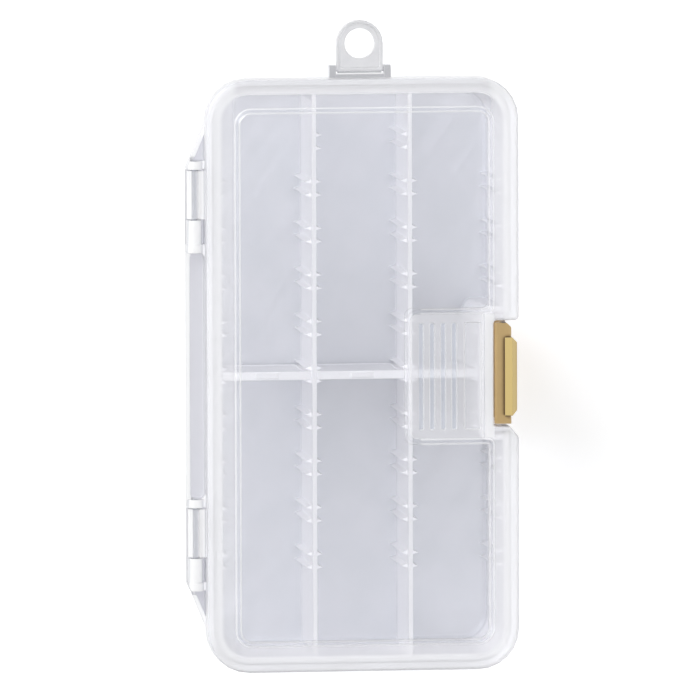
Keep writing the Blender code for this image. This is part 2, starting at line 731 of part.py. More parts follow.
def make_latch(finish):
    inside = LATCH_INSIDE
    outside = inside + LATCH_WALL
    hook_low = CATCH_TOP + CLEARANCE
    hook_top = hook_low + LATCH_HOOK
    foot = LATCH_PIVOT_HEIGHT - LATCH_FOOT_RADIUS
    ankle = LATCH_PIVOT_HEIGHT + LATCH_FOOT_RADIUS
    foot_left = LATCH_PIVOT_X - LATCH_FOOT_RADIUS
    outline = rounded_outline([
        (NOTCH_BACK + LATCH_GAP, hook_low, 0),
        (inside, hook_low, 0),
        (inside, ankle, LATCH_ROUND),
        (foot_left, ankle, LATCH_FOOT_RADIUS - WELD),
        (foot_left, foot, LATCH_FOOT_RADIUS - WELD),
        (outside, foot, LATCH_FOOT_RADIUS),
        (outside, hook_top, LATCH_ROUND),
        (NOTCH_BACK + LATCH_GAP, hook_top, LATCH_ROUND),
    ])
    latch = side_prism("latch", outline, LATCH_LENGTH / 2)
    high = hook_top + GRIP_RISE
    cut(latch, corner_wedge(outside, LATCH_LENGTH / 2, LATCH_SLANT, LATCH_SLANT_FOOT, high))
    outer = LID_X - OVERLAP
    left = outer - GRIP_WIDTH
    low = high - GRIP_HEIGHT
    profile = [
        Vector((left, low)),
        Vector((outer, low)),
        Vector((outer, high - GRIP_FALL_OUT)),
        Vector((left + GRIP_RIDGE, high)),
        Vector((left, high - GRIP_FALL_IN)),
    ]
    grip = side_prism("grip", profile, GRIP_LENGTH / 2)
    grip.data.transform(Matrix.Translation((0, GRIP_SHIFT, 0)))
    for side in (-1, 1):
        end = GRIP_SHIFT + side * GRIP_LENGTH / 2
        cut(grip, corner_wedge(outer, end, GRIP_SLANT, low - OVERRUN, high + OVERRUN))
    pegs = LATCH_LENGTH / 2 + PEG_LENGTH
    join(latch, grip, rod("pegs", (LATCH_PIVOT_X, -pegs, LATCH_PIVOT_HEIGHT),
                          (LATCH_PIVOT_X, pegs, LATCH_PIVOT_HEIGHT), PEG_RADIUS))
    return finish_piece(latch, "latch", finish, (LATCH_PIVOT_X, 0, LATCH_PIVOT_HEIGHT))


def tab_outline(inset):
    """The tab seen from above: a round end about the hole, straight sides and a square heel."""
    radius = TAB_WIDTH / 2 - inset
    centre = TAB_PIVOT_Y + TAB_REACH
    heel = TAB_PIVOT_Y - TAB_HEEL + inset
    points = []
    for step in range(ROUND_SIDES // 2 + 1):
        turn = math.pi * step / (ROUND_SIDES // 2)
        points.append((radius * math.cos(turn), centre + radius * math.sin(turn), 0))
    points.append((-radius, heel, TAB_CORNER / 2))
    points.append((radius, heel, TAB_CORNER / 2))
    return rounded_outline(points)


def make_tab(finish):
    centre = TAB_PIVOT_Y + TAB_REACH
    low = TAB_PIVOT_Z - TAB_BEAD_THICK / 2
    high = TAB_PIVOT_Z + TAB_BEAD_THICK / 2
    tab = prism("hang_tab", [tab_outline(0)], low, high)
    dish = TAB_PLATE / 2
    for name, start, end in (("dish_over", TAB_PIVOT_Z + dish, high + OVERRUN),
                             ("dish_under", low - OVERRUN, TAB_PIVOT_Z - dish)):
        cut(tab, prism(name, [tab_outline(TAB_BEAD)], start, end))
    hole = prism("hang_hole", [circle(0, centre, TAB_HOLE / 2)], low - OVERRUN, high + OVERRUN)
    cut(tab, hole)
    side = TAB_WIDTH / 2 - CLEARANCE
    for name, reach, radius in (("tab_heel", side, TAB_HEEL_RADIUS),
                                ("tab_pegs", side + TAB_PEG_LENGTH, TAB_PEG_RADIUS)):
        start = (-reach, TAB_PIVOT_Y, TAB_PIVOT_Z)
        end = (reach, TAB_PIVOT_Y, TAB_PIVOT_Z)
        join(tab, rod(name, start, end, radius))
    return finish_piece(tab, "hang_tab", finish, (0, TAB_PIVOT_Y, TAB_PIVOT_Z))


def make_divider(name, left, right, finish, lean_left=0, lean_right=0):
    """A loose cross divider between two walls, which lean towards it by the slopes given."""
    low = FLOOR + CLEARANCE
    high = RIB_TOP + CLEARANCE + DIVIDER_RIM_HEIGHT
    start = left + CLEARANCE
    end = right - CLEARANCE

    def outline(inset, bottom, top, corner):
        """The divider's face between two heights, with round corners below on a leaning side."""
        drop = TONGUE_TOP - bottom
        tip = TONGUE_TOP - top
        return rounded_outline([
            (start + inset + lean_left * drop, bottom, corner if lean_left else 0),
            (end - inset - lean_right * drop, bottom, corner if lean_right else 0),
            (end - inset - lean_right * tip, top, 0),
            (start + inset + lean_left * tip, top, 0),
        ])

    face = outline(DIVIDER_LIP, low, high - OVERLAP, DIVIDER_CORNER)
    divider = side_prism("divider", face, DIVIDER_EDGE / 2)
    corner = DIVIDER_CORNER - DIVIDER_EDGE_WIDTH
    for side in (-1, 1):
        face = outline(DIVIDER_EDGE_WIDTH, low + DIVIDER_EDGE_WIDTH, high, corner)
        dish = side_prism("dish", face, OVERRUN)
        dish.data.transform(Matrix.Translation((0, side * (DIVIDER_WEB / 2 + OVERRUN), 0)))
        cut(divider, dish)
    join(divider, side_prism("rim", outline(0, high - DIVIDER_RIM_HEIGHT, high, 0), DIVIDER_RIM / 2))
    middle = (start + end) / 2
    grip = rectangle(middle - DIVIDER_TAB / 2, middle + DIVIDER_TAB / 2, high - DIVIDER_RIM_HEIGHT / 2,
                     high + DIVIDER_TAB_RISE, DIVIDER_TAB_RISE / 2)
    join(divider, side_prism("finger_tab", grip, DIVIDER_TAB_THICK / 2))
    return finish_piece(divider, name, finish)


milky = material("milky_plastic", (0.83, 0.83, 0.86), 0.35, transmission=0.6)
clear = material("lid_plastic", (0.88, 0.88, 0.9), 0.2, transmission=0.8)
gold = material("gold_plastic", (0.62, 0.45, 0.22), 0.35)
steel = material("pin_steel", (0.6, 0.6, 0.6), 0.3, metallic=1)

make_case(milky)
make_lid(clear)
make_pins(steel)
make_latch(gold)
make_tab(milky)

wall_face = INNER_WALL_PLACE + INNER_WALL / 2
inner_face = INNER_WALL_PLACE - INNER_WALL / 2
case_face = CASE_X - WALL
make_divider("divider_left", -case_face, -wall_face, milky, lean_left=LEAN)
make_divider("divider_middle", -inner_face, inner_face, milky)
make_divider("divider_right", wall_face, RECESS_BACK - WALL, milky, lean_right=LEAN)
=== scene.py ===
"""The translucent lure case, dressed for a studio photograph taken from above."""

import math
import bpy
from mathutils import Matrix, Vector


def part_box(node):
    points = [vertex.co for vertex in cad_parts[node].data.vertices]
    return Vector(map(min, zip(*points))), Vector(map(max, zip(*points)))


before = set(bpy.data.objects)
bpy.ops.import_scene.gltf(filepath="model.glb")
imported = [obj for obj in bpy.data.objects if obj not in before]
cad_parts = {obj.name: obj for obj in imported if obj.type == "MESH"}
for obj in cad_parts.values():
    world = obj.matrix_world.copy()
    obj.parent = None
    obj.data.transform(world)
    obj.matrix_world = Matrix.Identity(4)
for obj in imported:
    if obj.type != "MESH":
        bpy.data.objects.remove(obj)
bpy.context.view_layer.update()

MM = 0.001

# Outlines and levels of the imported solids
CASE_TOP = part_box("case_body")[1][2]
CASE_SIDE, CASE_END, LID_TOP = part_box("lid")[1]
CORNER = 11.3 * MM
FLOOR_THICKNESS = 1.4 * MM
PANEL_RISE = 1.0 * MM
PIN_LOW, PIN_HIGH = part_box("hinge_pin_upper")
PIN_WIDTH = PIN_HIGH[0] - PIN_LOW[0]
PIN_X = PIN_LOW[0] + PIN_WIDTH / 2

# Edges of the meshes: points closer than the gap are one, and steeper folds than the angle stay sharp
WELD_GAP = 0.002 * MM
SHARP_ANGLE = math.radians(28)
FACE_WEIGHT = 100

# Half the width of a soft step between two looks
SOFT = 0.3 * MM

# Values of a noise between which two near colours blend, and between which the gloss changes
CLOUD = 0.35, 0.65
GRAIN = 0.3, 0.7
# How much of a coarse noise is fine detail
COARSE = 0.6

# Rays that look for a nearby edge, and for something close above
EDGE_RAYS = 4
HOLLOW_RAYS = 8

# Plastic: its refraction, and the share of its opacity that holds light back, as the rest goes through
PLASTIC_IOR = 1.49
SHADE = 0.02

# Case moulding: colours, with a pair for the floor's blotches. The floor's darker tone is painted shade
# down in the compartments
CASE_SHADED_FLOOR = (0.64, 0.655, 0.675, 1), (0.67, 0.68, 0.70, 1)
CASE_WALL = (0.97, 0.965, 0.97, 1)
# Painted highlight on upward faces and edges
CASE_HIGHLIGHT = (0.96, 0.96, 0.97, 1)
# Painted shade on the outward steep faces
CASE_SHELL_SHADE = (0.64, 0.65, 0.67, 1)
CASE_HAZE = (0.97, 0.97, 0.99, 1)
# The rail's hollow and its steep faces are painted shade
RAIL_HOLLOW_SHADE = (0.68, 0.68, 0.70, 1)
RAIL_FACE = (0.92, 0.92, 0.92, 1)
RAIL_STEEP_SHADE = (0.60, 0.60, 0.62, 1)
# The bracket under the tab is painted shade, with a painted highlight on its edges
BRACKET_SHADE = (0.455, 0.455, 0.475, 1)
BRACKET_EDGE_HIGHLIGHT = (0.60, 0.60, 0.62, 1)
# Case moulding: heights over the floor, levels, widths of bands, and shares of a normal that points up
WALL_FOOT = FLOOR_THICKNESS + 0.3 * MM
WALL_CLEAR = FLOOR_THICKNESS + 4.0 * MM
WALL_TOP_LEVELS = 0.4 * CASE_TOP, 0.6 * CASE_TOP
RAIL_LEVEL = 22.5 * MM
SHELL_BAND = 6.0 * MM
SHELL_REACH = 10.0 * MM
BRACKET_HALF = 8.5 * MM
BRACKET_START = CASE_END - 0.6 * MM
CASE_LEVEL = 0.75, 0.95
CASE_STEEP = 0.7, 0.3
# Case moulding: from floor to wall, how milky it is and how much of its body light passes
CASE_OPACITY = 0.85, 0.94
# Extra milkiness of the painted highlight on upward faces and edges
CASE_HIGHLIGHT_OPACITY = 0.3
CASE_GLOW = 0.02, 0.06
WALL_TOP_GLOW = 0.1
# Case moulding: edge radius and turns, noise scale and detail, and gloss
CASE_EDGE = 0.35 * MM, 0.02, 0.2
CASE_CLOUD = 90.0, 3.0
CASE_GRAIN = 1400.0, 2.0
CASE_ROUGHNESS = 0.28, 0.42
CASE_BUMP = 0.25, 0.02 * MM

# Lid: colours. The border's pair is for blotches, the end rim's runs from the plain end to the tab, and
# the side rim's and the skirt's run from the hinges to the latch. These runs are painted shade, darker at
# the tab end and at the hinges, and the skirt is painted shade as a whole
LID_BORDER = (0.88, 0.875, 0.89, 1), (0.91, 0.905, 0.915, 1)
LID_END_RIM_SHADE = (0.82, 0.82, 0.825, 1), (0.66, 0.66, 0.665, 1)
LID_SIDE_RIM_SHADE = (0.84, 0.84, 0.835, 1), (0.91, 0.91, 0.90, 1)
LID_SKIRT_SHADE = (0.50, 0.50, 0.51, 1), (0.78, 0.78, 0.79, 1)
LID_HINGE = (0.97, 0.97, 0.975, 1)
LID_PAD = (0.775, 0.775, 0.805, 1)
LID_GROOVE = (0.65, 0.68, 0.74, 1)
# The pad's end by the latch is painted paler, painted light that lifts the shade there
LID_PAD_END_PAINTED_LIGHT = (0.90, 0.90, 0.91, 1)
LID_WINDOW = (0.76, 0.79, 0.83, 1)
# Painted highlight on the lid's edges and on the lines along the window's flank
LID_HIGHLIGHT = (0.92, 0.92, 0.93, 1)
LID_HAZE = (0.99, 0.99, 1.0, 1)
# Lid: the thumb pad
PAD_LEFT = 13.0 * MM
PAD_RIGHT = 35.7 * MM
PAD_END = 32.6 * MM
PAD_MIDDLE = -0.5 * MM
PAD_HALF = 16.8 * MM
# Beside the pad's near end the painted highlights are quieter
QUIET_OUT = 3.0 * MM
QUIET_IN = 2.5 * MM
QUIET_SHARE = 0.3
# Lid: widths of the bands along its outline, and places between which its looks blend
RIM_BAND = 4.0 * MM
RIM_SOFT = 1.2 * MM
OUTER_BAND = 1.3 * MM
LONG_SIDE = CASE_SIDE - 9.0 * MM, CASE_SIDE - 6.0 * MM
WHOLE_LENGTH = -0.9 * CASE_END, 0.9 * CASE_END
WHOLE_WIDTH = -0.9 * CASE_SIDE, 0.9 * CASE_SIDE
# Lid: depths below its top between which a look starts and is whole
UNDERSIDE = 1.2 * MM, 1.4 * MM
PAD_FLOOR = 2.2 * MM, 2.0 * MM
WINDOW_RISEN = 0.97 * PANEL_RISE, 0.85 * PANEL_RISE
WINDOW_TOP = 0.3 * MM, 0.1 * MM
FLANK_REACH = 1.02 * PANEL_RISE, PANEL_RISE
# Depths of the painted highlight lines at the flank's foot and brow
FLANK_FOOT = 0.65 * PANEL_RISE, 0.8 * PANEL_RISE
FLANK_BROW = 0.35 * PANEL_RISE, 0.2 * PANEL_RISE
# Lid: shares of a normal that points up
LID_LEVEL = 0.5, 0.8
LID_SLOPE = 0.97, 0.9
LID_STEEP = 0.9, 0.5
# Lid: how milky each area is. The ends' pair runs to the tab, the knuckle's from over its pin to beside it
END_OPACITY = 0.26, 0.12
SIDE_OPACITY = 0.33
RIM_OPACITY = 0.45
PAD_OPACITY = 0.6
PAD_END_OPACITY = 0.85
KNUCKLE_OPACITY = 0.25, 0.8
BESIDE_PIN = 0.5 * PIN_WIDTH, 0.75 * PIN_WIDTH
WINDOW_OPACITY = 0.1
UNDERSIDE_SHARE = 0.02
# Extra milkiness of the painted highlights
LID_HIGHLIGHT_OPACITY = 0.42
LID_GLOW = 0.1
# Lid: edge radius and turns, noise scale and detail, and gloss and bump from the border to the window
LID_EDGE = 0.38 * MM, 0.004, 0.05
LID_CLOUD = 70.0, 3.0
LID_FROST = 1500.0, 3.0, COARSE
LID_ROUGHNESS = 0.42, 0.16
LID_BUMP = 0.35, 0.04
LID_BUMP_DEPTH = 0.03 * MM

# Hang tab
TAB_FACE = (0.66, 0.66, 0.675, 1), (0.70, 0.70, 0.71, 1)
# Painted highlight on the tab's raised edges, and its extra milkiness below
TAB_RIDGE_HIGHLIGHT = (0.9, 0.9, 0.91, 1)
TAB_HAZE = (0.95, 0.95, 0.96, 1)
TAB_OPACITY = 0.6
TAB_HIGHLIGHT_OPACITY = 0.3
TAB_GLOW = 0.15
TAB_EDGE = 0.3 * MM, 0.02, 0.2
TAB_CLOUD = 250.0, 3.0
TAB_GRAIN = 1600.0, 2.0
TAB_ROUGHNESS = 0.3, 0.45
TAB_BUMP = 0.3, 0.02 * MM

# Latch
LATCH_FACE = (0.45, 0.31, 0.135, 1), (0.49, 0.34, 0.15, 1)
# The raised grip is painted lighter, a painted highlight where it catches more light
LATCH_GRIP_HIGHLIGHT = (0.60, 0.45, 0.175, 1)
# Painted highlight along the latch's edges, with its share below
LATCH_EDGE_HIGHLIGHT = (0.70, 0.54, 0.24, 1)
LATCH_DARK = (0.075, 0.038, 0.012, 1)
LATCH_IOR = 1.5
EDGE_HIGHLIGHT_SHARE = 0.6
GRIP_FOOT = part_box("latch")[1][2] - 1.2 * MM
GRIP_SIDE = CASE_SIDE - 4.6 * MM
HOLLOW_REACH = 2.0 * MM
HOLLOW_SHARES = 0.5, 0.9
LATCH_EDGE = 0.35 * MM, 0.02, 0.25
LATCH_CLOUD = 160.0, 3.0
LATCH_SPREAD = 0.3, 0.7
LATCH_GRAIN = 2200.0, 3.0, COARSE
LATCH_ROUGHNESS = 0.36, 0.5
LATCH_BUMP = 0.25, 0.02 * MM

# Hinge pins
STEEL = (0.36, 0.38, 0.43, 1), (0.44, 0.46, 0.51, 1)
STEEL_STRETCH = (1.0, 0.05, 1.0)
STEEL_STREAKS = 6000.0
STEEL_ROUGHNESS = 0.25, 0.4
STEEL_BUMP = 0.2, 0.01 * MM

# Camera: the case seen from above, from a little to the hinge side and the tab side
CAMERA_AIM = Vector((-3.66 * MM, 7.0 * MM, 30.0 * MM))
CAMERA_RISE = 4000.0 * MM
CAMERA_SLOPE_X = -0.125
CAMERA_SLOPE_Y = 0.092
CAMERA_ROLL = math.radians(-0.16)
CAMERA_NEAR = 10 * MM
CAMERA_FAR = 100.0
FRAME_WIDTH = 189.2 * MM
SENSOR = 36.0

# Studio: name, place in metres and power in watts of each lamp, then the room and the paper below
LAMPS = (("left", (-1.5, 1.1, 0.8), 36.0), ("right", (1.5, -0.5, 1.2), 17.0))
LAMP_SIZE = 1.5
ROOM_TINT = (0.98, 0.99, 1.0, 1)
ROOM_STRENGTH = 0.5
WHITE = (1.0, 1.0, 1.0, 1)
BACKDROP_STRENGTH = 1.0
PAPER = (0.92, 0.92, 0.92, 1), (0.94, 0.94, 0.94, 1)
PAPER_CLOUD = 3.0
PAPER_LIFT = 0.24
PAPER_HALF = 3.0


def add_camera():
    data = bpy.data.cameras.new("view")
    camera = bpy.data.objects.new("view", data)
    bpy.context.scene.collection.objects.link(camera)
    back = Vector((CAMERA_SLOPE_X, CAMERA_SLOPE_Y, 1.0)) * CAMERA_RISE
    camera.location = CAMERA_AIM + back
    up = Vector((0, 1, 0))
    right = up.cross(back).normalized()
    true_up = back.cross(right).normalized()
    turn = Matrix((right, true_up, back.normalized())).transposed()
    camera.rotation_euler = (turn @ Matrix.Rotation(CAMERA_ROLL, 3, "Z")).to_euler()
    data.sensor_width = SENSOR
    data.lens = SENSOR * back.length / FRAME_WIDTH
    data.clip_start = CAMERA_NEAR
    data.clip_end = CAMERA_FAR
    bpy.context.scene.camera = camera


class Nodes:
    """A node tree with short ways to add and wire its nodes."""

    def __init__(self, tree):
        self.tree = tree
        self.tree.nodes.clear()

    def node(self, kind, settings=None, **inputs):
        node = self.tree.nodes.new(kind)
        for key, value in (settings or {}).items():
            setattr(node, key, value)
        for key, value in inputs.items():
            self.put(node.inputs[key.replace("_", " ")], value)
        return node

    def put(self, socket, value):
        if isinstance(value, bpy.types.Node):
            value = value.outputs[0]
        if isinstance(value, bpy.types.NodeSocket):
            self.tree.links.new(value, socket)
        else:
            socket.default_value = value

    def calc(self, operation, first, second=0.0, third=0.0, clamp=False):
        node = self.node("ShaderNodeMath", {"operation": operation, "use_clamp": clamp})
        for socket, value in zip(node.inputs, (first, second, third)):
            self.put(socket, value)
        return node.outputs[0]

    def mix(self, factor, first, second):
        node = self.node("ShaderNodeMixShader")
        for socket, value in zip(node.inputs, (factor, first, second)):
            self.put(socket, value)
        return node

    def seen(self):
        """1 for what is seen directly, in a reflection or through a clear piece, and 0 for its light."""
        path = self.node("ShaderNodeLightPath").outputs
        through = self.calc("MAXIMUM", path["Is Glossy Ray"], path["Is Transmission Ray"])
        return self.calc("MAXIMUM", path["Is Camera Ray"], through)


class Surface(Nodes):
    """A new material, with masks by place, by slope and by edges."""

    def __init__(self, name):
        self.material = bpy.data.materials.new(name)
        self.material.use_nodes = True
        super().__init__(self.material.node_tree)
        self.place = self.node("ShaderNodeTexCoord")
        self.axes = self.node("ShaderNodeSeparateXYZ", Vector=self.place.outputs["Object"])
        self.facing = self.node("ShaderNodeSeparateXYZ", Vector=self.place.outputs["Normal"])

    def at(self, axis):
        return self.axes.outputs[axis]

    def size(self, axis):
        return self.calc("ABSOLUTE", self.at(axis))

    def ramp(self, value, start, end, low=0.0, high=1.0):
        """A soft step from low to high as the value goes from start to end."""
        node = self.node("ShaderNodeMapRange", {"interpolation_type": "SMOOTHSTEP"}, Value=value)
        for key, number in zip(("From Min", "From Max", "To Min", "To Max"), (start, end, low, high)):
            self.put(node.inputs[key], number)
        return node.outputs[0]

    def rise(self, value, place, soft=SOFT):
        """A soft step from 0 to 1 where the value passes a place."""
        return self.ramp(value, place - soft, place + soft)

    def choose(self, mask, low, high):
        """The low value where the mask is 0, the high one where it is 1."""
        return self.ramp(mask, 0.0, 1.0, low, high)

    def both(self, first, second):
        return self.calc("MULTIPLY", first, second)

    def either(self, first, second):
        return self.calc("MAXIMUM", first, second)

    def off(self, mask):
        return self.calc("SUBTRACT", 1.0, mask)

    def within(self, axis, low, high):
        return self.both(self.rise(self.at(axis), low), self.off(self.rise(self.at(axis), high)))

    def rim(self, width, soft):
        """1 in a band of this width along the lid's rounded outline."""
        across = self.calc("MAXIMUM", self.calc("SUBTRACT", self.size("X"), CASE_SIDE - CORNER), 0.0)
        along = self.calc("MAXIMUM", self.calc("SUBTRACT", self.size("Y"), CASE_END - CORNER), 0.0)
        square = self.calc("ADD", self.both(across, across), self.both(along, along))
        return self.rise(self.calc("SQRT", square), CORNER - width, soft)

    def blend(self, factor, first, second):
        """A colour between two, by the node's colour sockets, which share their names with others."""
        node = self.node("ShaderNodeMix", {"data_type": "RGBA"})
        self.put(node.inputs["Factor"], factor)
        self.put(node.inputs[6], first)
        self.put(node.inputs[7], second)
        return node.outputs[2]

    def noise(self, scale, detail=2.0, roughness=0.5):
        return self.node("ShaderNodeTexNoise", Vector=self.place.outputs["Object"], Scale=scale,
                         Detail=detail, Roughness=roughness).outputs["Fac"]

    def clouded(self, noise, colours, spread=CLOUD):
        """Two near colours, in slow blotches."""
        return self.blend(self.ramp(self.noise(*noise), *spread), *colours)

    def bump(self, height, strength, distance, normal=None):
        node = self.node("ShaderNodeBump", Height=height, Strength=strength, Distance=distance)
        if normal is not None:
            self.put(node.inputs["Normal"], normal)
        return node.outputs[0]

    def edges(self, radius, start, end):
        """How sharply the surface turns nearby, 0 on a flat and 1 on an edge, and its round normal."""
        bevel = self.node("ShaderNodeBevel", {"samples": EDGE_RAYS}, Radius=radius)
        straight = self.node("ShaderNodeNewGeometry").outputs["Normal"]
        dot = self.node("ShaderNodeVectorMath", {"operation": "DOT_PRODUCT"})
        self.put(dot.inputs[0], bevel)
        self.put(dot.inputs[1], straight)
        turn = self.calc("SUBTRACT", 1.0, dot.outputs["Value"], clamp=True)
        return self.ramp(turn, start, end), bevel.outputs[0]

    def show(self, shader):
        output = self.node("ShaderNodeOutputMaterial")
        self.put(output.inputs["Surface"], shader)
        return self.material


def plastic(surface, colour, opacity, roughness, normal, glow, haze):
    """Translucent plastic: a milky body that light passes, over a tinted clear one, under a gloss."""
    shadow = surface.node("ShaderNodeLightPath").outputs["Is Shadow Ray"]
    share = surface.choose(shadow, 1.0, SHADE)
    milk = surface.node("ShaderNodeBsdfPrincipled", Base_Color=colour, Roughness=roughness,
                        Normal=normal, IOR=PLASTIC_IOR)
    through = surface.node("ShaderNodeBsdfTranslucent", Color=colour, Normal=normal)
    body = surface.mix(glow, milk, through)
    clear = surface.node("ShaderNodeBsdfTransparent", Color=haze)
    gloss = surface.node("ShaderNodeBsdfGlossy", Roughness=roughness, Normal=normal)
    shine = surface.node("ShaderNodeFresnel", IOR=PLASTIC_IOR, Normal=normal)
    under = surface.mix(surface.both(opacity, share), clear, body)
    return surface.mix(surface.both(shine, share), under, gloss)


def case_plastic():
    """Milky case moulding: a cool floor darkened by painted shade, paler walls, painted highlights on
    upward faces and edges, and painted shade on the rail, the bracket and the outer sides.
    """
    surface = Surface("case milky plastic")
    height = surface.at("Z")
    up = surface.facing.outputs["Z"]
    wall = surface.ramp(height, WALL_FOOT, WALL_CLEAR)
    top = surface.both(surface.ramp(up, *CASE_LEVEL), surface.ramp(height, *WALL_TOP_LEVELS))
    steep = surface.ramp(up, *CASE_STEEP)
    edge, round_normal = surface.edges(*CASE_EDGE)
    # Painted highlight on the walls' upward faces and on edges
    painted_highlight = surface.either(top, edge)
    grain = surface.noise(*CASE_GRAIN)

    # The inner side: the floor is painted darker than the walls of the same moulding, as painted shade,
    # and upward faces and edges get a painted highlight
    shaded_floor_colour = surface.clouded(CASE_CLOUD, CASE_SHADED_FLOOR)
    wall_colour = surface.blend(wall, shaded_floor_colour, CASE_WALL)
    inner_colour = surface.blend(painted_highlight, wall_colour, CASE_HIGHLIGHT)

    # The hinge rail and the tab's bracket, which stand out past the lid, with painted shade in the rail's
    # hollow, on its steep faces and on the bracket
    rail = surface.rise(surface.size("X"), CASE_SIDE)
    rail_colour = surface.blend(surface.rise(height, RAIL_LEVEL), RAIL_HOLLOW_SHADE, RAIL_FACE)
    rail_colour = surface.blend(steep, rail_colour, RAIL_STEEP_SHADE)
    bracket = surface.both(surface.rise(surface.at("Y"), BRACKET_START),
                           surface.within("X", -BRACKET_HALF, BRACKET_HALF))
    # Painted shade on the bracket, with painted highlights on its edges
    bracket_colour = surface.blend(edge, BRACKET_SHADE, BRACKET_EDGE_HIGHLIGHT)
    colour = surface.blend(rail, inner_colour, rail_colour)
    colour = surface.blend(bracket, colour, bracket_colour)

    # The outer side: steep faces near the outline that look outward, darkened with painted shade
    outward = surface.calc("ADD", surface.both(surface.facing.outputs["X"], surface.at("X")),
                           surface.both(surface.facing.outputs["Y"], surface.at("Y")))
    shell = surface.both(surface.both(steep, surface.ramp(outward, 0.0, SHELL_REACH)),
                         surface.rim(SHELL_BAND, SOFT))
    colour = surface.blend(shell, colour, CASE_SHELL_SHADE)

    opacity = surface.calc("ADD", surface.choose(wall, *CASE_OPACITY),
                           surface.both(painted_highlight, CASE_HIGHLIGHT_OPACITY), clamp=True)
    glow = surface.both(surface.choose(wall, *CASE_GLOW), surface.choose(top, 1.0, WALL_TOP_GLOW))
    roughness = surface.ramp(grain, *GRAIN, *CASE_ROUGHNESS)
    normal = surface.bump(grain, *CASE_BUMP, round_normal)
    return surface.show(plastic(surface, colour, opacity, roughness, normal, glow, CASE_HAZE))


def lid_plastic():
    """Lid moulding: a frosted border round a clear polished window, with painted highlights on its edges
    and painted shade on its rim and skirt.
    """
    surface = Surface("lid clear and frosted plastic")
    up = surface.facing.outputs["Z"]

    def depth(start, end):
        return surface.ramp(surface.at("Z"), LID_TOP - start, LID_TOP - end)

    # The knuckles, the thumb pad and its grooves
    hinge = surface.rise(surface.calc("MULTIPLY", surface.at("X"), -1.0), CASE_SIDE + SOFT)
    pad = surface.both(surface.within("X", PAD_LEFT, PAD_RIGHT),
                       surface.within("Y", PAD_MIDDLE - PAD_HALF, PAD_MIDDLE + PAD_HALF))
    pad_end = surface.both(pad, surface.rise(surface.at("X"), PAD_END))
    sunk = surface.both(pad, depth(*PAD_FLOOR))
    groove = surface.both(sunk, depth(*UNDERSIDE))

    # The hidden underside, and the outer side over it
    flat = surface.ramp(surface.calc("ABSOLUTE", up), *LID_LEVEL)
    below = surface.both(flat, depth(*UNDERSIDE))
    inside = surface.both(below, surface.off(surface.either(hinge, sunk)))
    over = surface.off(inside)

    # The window, with a painted highlight line along the foot and the brow of its flank
    raised = depth(*WINDOW_RISEN)
    window = depth(*WINDOW_TOP)
    flank = surface.both(surface.ramp(up, *LID_SLOPE), depth(*FLANK_REACH))
    highlight_lines = surface.both(flank, surface.either(depth(*FLANK_FOOT), depth(*FLANK_BROW)))

    # Painted highlights on the edges, quieter beside the pad
    edge, round_normal = surface.edges(*LID_EDGE)
    outer = surface.rim(OUTER_BAND, SOFT)
    inner_edge = surface.both(edge, surface.off(outer))
    near_pad = surface.both(surface.within("X", PAD_LEFT - QUIET_OUT, PAD_LEFT + QUIET_IN),
                            surface.within("Y", PAD_MIDDLE - PAD_HALF - QUIET_OUT,
                                           PAD_MIDDLE + PAD_HALF + QUIET_OUT))
    quiet = surface.choose(near_pad, 1.0, QUIET_SHARE)
    painted_highlight = surface.both(surface.both(surface.either(inner_edge, highlight_lines), over), quiet)

    # The border's colour, from its flat to its rim and its steep sides, which carry painted shade that
    # darkens towards the tab end and the hinges
    rim = surface.both(surface.rim(RIM_BAND, RIM_SOFT), surface.off(raised))
    long_side = surface.ramp(surface.size("X"), *LONG_SIDE)
    to_tab = surface.ramp(surface.at("Y"), *WHOLE_LENGTH)
    to_latch = surface.ramp(surface.at("X"), *WHOLE_WIDTH)
    steep = surface.both(outer, surface.ramp(up, *LID_STEEP))
    rim_colour = surface.blend(long_side, surface.blend(to_tab, *LID_END_RIM_SHADE),
                               surface.blend(to_latch, *LID_SIDE_RIM_SHADE))
    border = surface.blend(rim, surface.clouded(LID_CLOUD, LID_BORDER), rim_colour)
    border = surface.blend(steep, border, surface.blend(to_latch, *LID_SKIRT_SHADE))
    # The knuckles, the pad and its grooves get their own tones, and the pad's end a paler painted light
    for mask, tone in ((hinge, LID_HINGE), (pad, LID_PAD), (groove, LID_GROOVE), (pad_end, LID_PAD_END_PAINTED_LIGHT)):
        border = surface.blend(mask, border, tone)
    pale = surface.blend(raised, border, LID_WINDOW)
    colour = surface.blend(painted_highlight, pale, LID_HIGHLIGHT)

    # How milky each area is
    milky = surface.choose(long_side, surface.choose(to_tab, *END_OPACITY), SIDE_OPACITY)
    beside = surface.calc("ABSOLUTE", surface.calc("SUBTRACT", surface.at("X"), PIN_X))
    knuckle = surface.ramp(beside, *BESIDE_PIN, *KNUCKLE_OPACITY)
    for mask, share in ((rim, RIM_OPACITY), (pad, PAD_OPACITY), (pad_end, PAD_END_OPACITY),
                        (hinge, knuckle), (raised, WINDOW_OPACITY)):
        milky = surface.choose(mask, milky, share)
    milky = surface.both(milky, surface.choose(over, UNDERSIDE_SHARE, 1.0))
    opacity = surface.calc("ADD", milky, surface.both(painted_highlight, LID_HIGHLIGHT_OPACITY), clamp=True)

    roughness = surface.choose(window, *LID_ROUGHNESS)
    normal = surface.bump(surface.noise(*LID_FROST), surface.choose(window, *LID_BUMP),
                          LID_BUMP_DEPTH, round_normal)
    return surface.show(plastic(surface, colour, opacity, roughness, normal, LID_GLOW, LID_HAZE))


